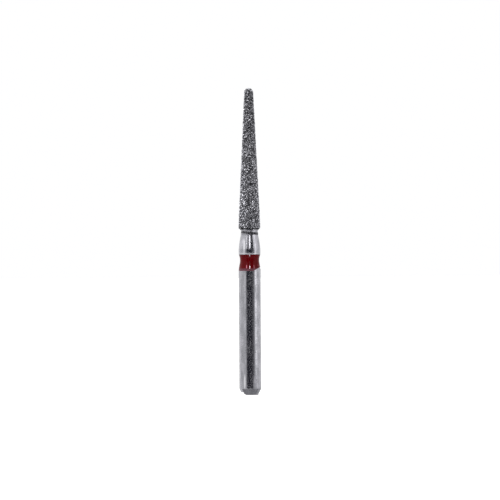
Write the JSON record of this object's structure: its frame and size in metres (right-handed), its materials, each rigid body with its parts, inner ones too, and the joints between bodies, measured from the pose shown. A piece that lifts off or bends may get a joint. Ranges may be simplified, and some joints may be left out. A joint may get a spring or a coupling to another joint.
{
  "type": "dental bur",
  "caption": "Friction-grip dental bur with a long tapered, diamond-coated working part, a round tip, a waisted red colour band and a plain round shank.",
  "frame": {"origin": "centre of the flat end of the shank", "axes": "+Z runs along the bur's axis from the flat end to the round tip, and -X is the side of the nick in that end"},
  "size_m": [0.0016, 0.0016, 0.0225],
  "materials": {
    "turned_steel": "fine-turned and polished stainless steel",
    "diamond_grit": "rough diamond grit in a nickel bond",
    "red_lacquer": "glossy red lacquer"
  },
  "bodies": {
    "root": {"steel_blank": "turned_steel", "diamond_coat": "diamond_grit", "colour_ring": "red_lacquer"}
  },
  "joints": []
}
